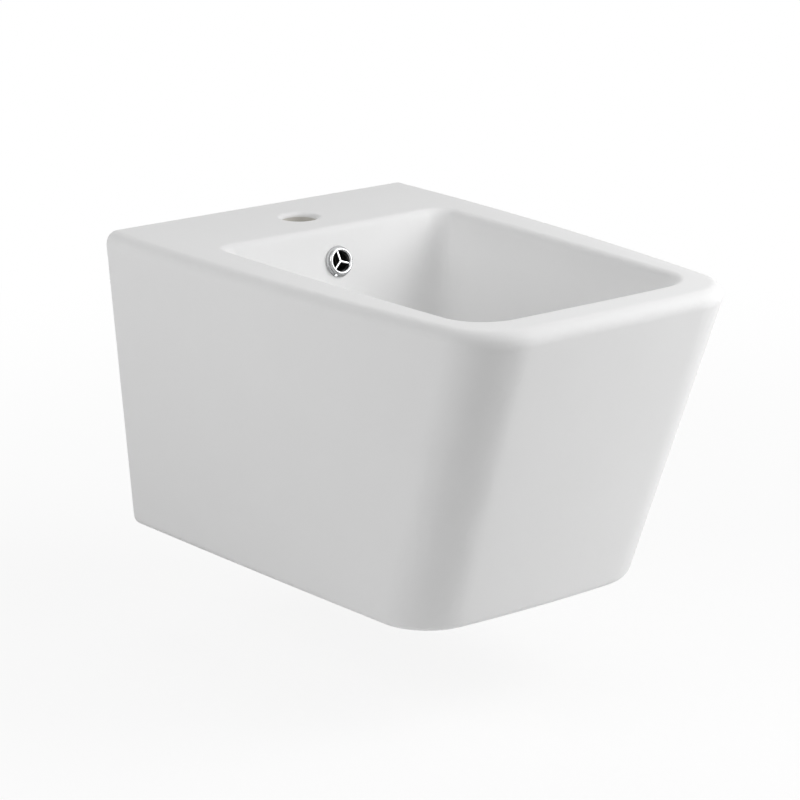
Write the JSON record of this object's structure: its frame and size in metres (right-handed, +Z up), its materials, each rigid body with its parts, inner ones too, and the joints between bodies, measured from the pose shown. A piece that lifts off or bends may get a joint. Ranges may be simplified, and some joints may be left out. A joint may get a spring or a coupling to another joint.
{
  "type": "wall-hung bidet",
  "caption": "Wall-hung ceramic bidet with a rectangular bowl, an open tap hole, a chromed overflow ring and a push-to-open waste plug that slides up and down.",
  "frame": {"origin": "on the wall plane, midway between the two fixing holes, 80 mm below the rim", "axes": "+Y into the wall, so the front looks along -Y; +Z up; +X to the right of someone facing the wall"},
  "size_m": [0.3592, 0.5151, 0.295],
  "materials": {
    "white_glaze": "satin white glaze",
    "chrome": "polished chrome plate",
    "steel": "zinc plated",
    "brass": "turned brass",
    "white_plastic": "moulded",
    "black_rubber": "matt"
  },
  "bodies": {
    "bidet": {"bidet_body": "white_glaze", "overflow_ring": "chrome", "overflow_seal": "black_rubber", "overflow_sleeve": "white_plastic", "flange_seal": "black_rubber", "waste_body": "chrome", "lower_seal": "black_rubber", "seal_washer": "white_plastic", "waste_nut": "brass", "cartridge_body": "brass", "cartridge_cap": "brass", "cartridge_spring": "steel", "wall_sleeves": "white_plastic", "wall_rubber_washers": "black_rubber", "wall_steel_washers": "steel", "wall_nuts": "steel"},
    "plug": {"waste_plug": "chrome", "plug_seal": "black_rubber", "plug_stud": "steel", "cartridge_plunger": "brass"},
    "latch": {"latch_rotor": "white_plastic"}
  },
  "joints": [
    {"name": "plug_slide", "type": "slide", "parent": "bidet", "child": "plug", "axis": [0, 0, 1], "range_m": [-0.009, 0], "stiffness_N_per_m": 500, "springref_m": 0.01, "deforming": ["cartridge_spring"]},
    {"name": "latch_turn", "type": "hinge", "parent": "plug", "child": "latch", "pos_m": [0, -0.235, -0.0914], "axis": [0, 0, 1], "continuous": true}
  ]
}
